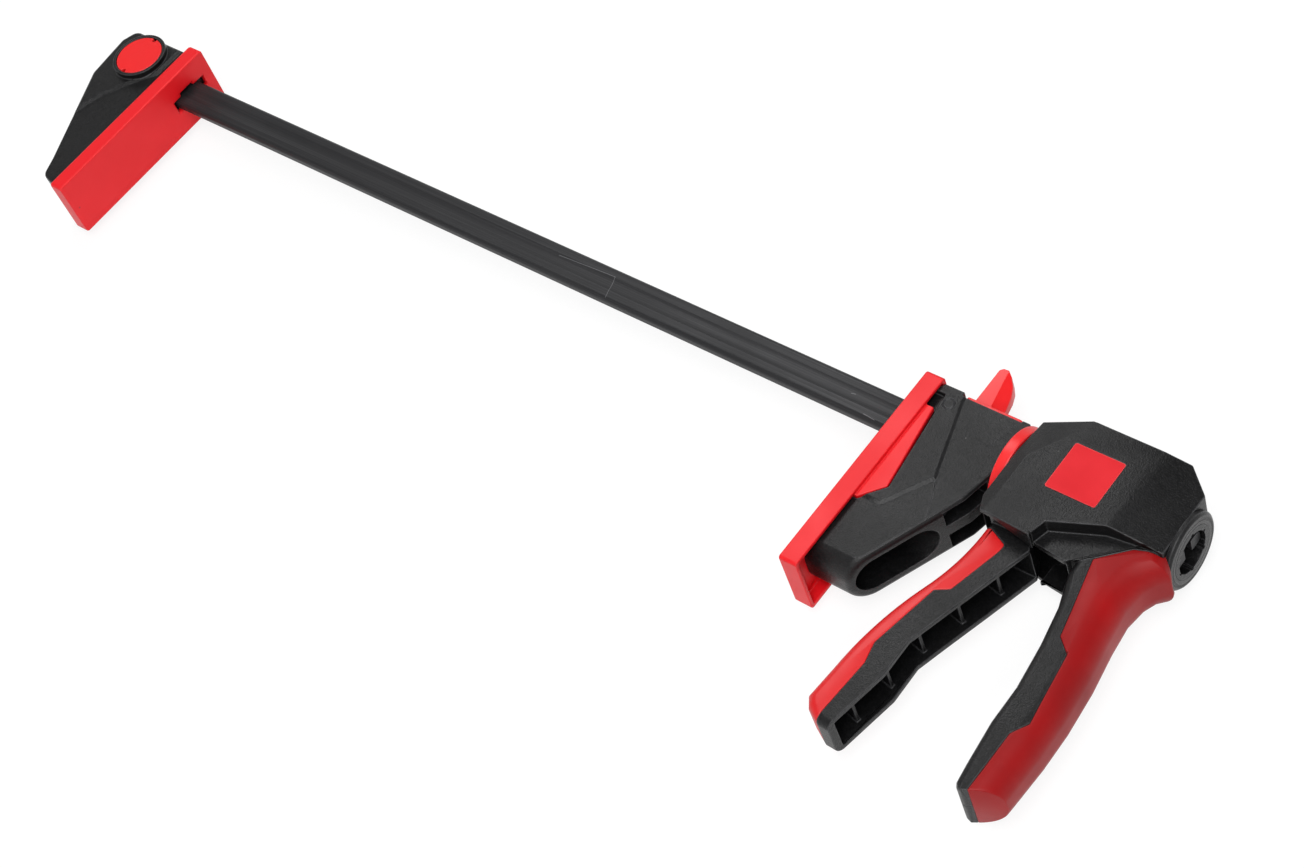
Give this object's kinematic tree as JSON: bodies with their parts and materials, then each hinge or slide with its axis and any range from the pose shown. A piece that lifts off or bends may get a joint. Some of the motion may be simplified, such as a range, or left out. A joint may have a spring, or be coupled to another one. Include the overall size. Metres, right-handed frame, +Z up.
{
  "type": "quick release bar clamp",
  "caption": "One-handed bar clamp lying on its side: flat steel rail, two padded jaws, brake lever, push button and a swivelling pistol grip with a trigger.",
  "frame": {"origin": "centre of the fixed jaw's clamping face", "axes": "+X along the rail from the fixed jaw to the handle, the jaws and the grip reach towards -Y, +Z up from the side that the clamp lies on"},
  "size_m": [0.6592, 0.1801, 0.044],
  "materials": {
    "black_oxide_steel": "black oxide on rolled bar, satin",
    "bright_steel": "ground",
    "spring_steel": "drawn wire",
    "black_nylon": "moulded, fine spark texture",
    "red_pad": "soft moulded, satin",
    "red_grip": "soft overmould, fine matt texture",
    "red_nylon": "moulded, satin",
    "badge_film": "smooth film"
  },
  "bodies": {
    "rail_and_fixed_jaw": {"rail": "black_oxide_steel", "rail_stop_pins": "bright_steel", "fixed_jaw_body": "black_nylon", "fixed_jaw_pad": "red_pad", "spring_cap": "black_nylon", "button_spring": "spring_steel"},
    "button": {"release_button": "red_nylon", "lock_bolt": "bright_steel"},
    "carriage": {"movable_jaw_body": "black_nylon", "movable_jaw_pad": "red_pad", "lever_pin": "bright_steel", "swivel_core": "black_nylon", "swivel_ring": "red_nylon", "spring_washer": "bright_steel", "washer_clip": "spring_steel", "drive_spring": "spring_steel", "brake_spring": "spring_steel"},
    "release_lever": {"release_lever": "red_nylon", "brake_plate": "bright_steel"},
    "handle": {"handle_shell_right": "black_nylon", "handle_shell_left": "black_nylon", "grip_overmould": "red_grip", "handle_screws": "bright_steel", "trigger_pin": "bright_steel", "blank_badge": "badge_film", "rear_collar": "black_nylon"},
    "trigger": {"trigger_lever": "black_nylon", "trigger_overmould": "red_grip"},
    "drive_unit": {"thrust_ring": "bright_steel", "drive_plates": "bright_steel"}
  },
  "joints": [
    {"name": "jaw_slide", "type": "slide", "parent": "rail_and_fixed_jaw", "child": "carriage", "axis": [1, 0, 0], "range_m": [-0.4665, 0]},
    {"name": "button_press", "type": "slide", "parent": "rail_and_fixed_jaw", "child": "button", "axis": [0, 0, -1], "range_m": [0, 0.0068], "stiffness_N_per_m": 700, "springref_m": -0.004, "deforming": ["button_spring"]},
    {"name": "release_lever_tilt", "type": "hinge", "parent": "carriage", "child": "release_lever", "pos_m": [0.489, 0.04815, 0], "axis": [0, 0, 1], "range_deg": [0, 7], "stiffness_Nm_per_rad": 0.8, "springref_deg": -11.46, "deforming": ["brake_spring"]},
    {"name": "handle_swivel", "type": "hinge", "parent": "carriage", "child": "handle", "pos_m": [0.5257, 0.03535, 0], "axis": [1, 0, 0], "continuous": true},
    {"name": "trigger_squeeze", "type": "hinge", "parent": "handle", "child": "trigger", "pos_m": [0.5397, 0.05135, 0], "axis": [0, 0, 1], "range_deg": [0, 15], "stiffness_Nm_per_rad": 6, "springref_deg": -5.73},
    {"name": "thrust_slide", "type": "slide", "parent": "carriage", "child": "drive_unit", "axis": [1, 0, 0], "range_m": [0, 0.0078], "deforming": ["drive_spring"]}
  ],
  "couplings": [
    {"joint": "thrust_slide", "follows": "trigger_squeeze", "m_per_rad": 0.02949}
  ]
}
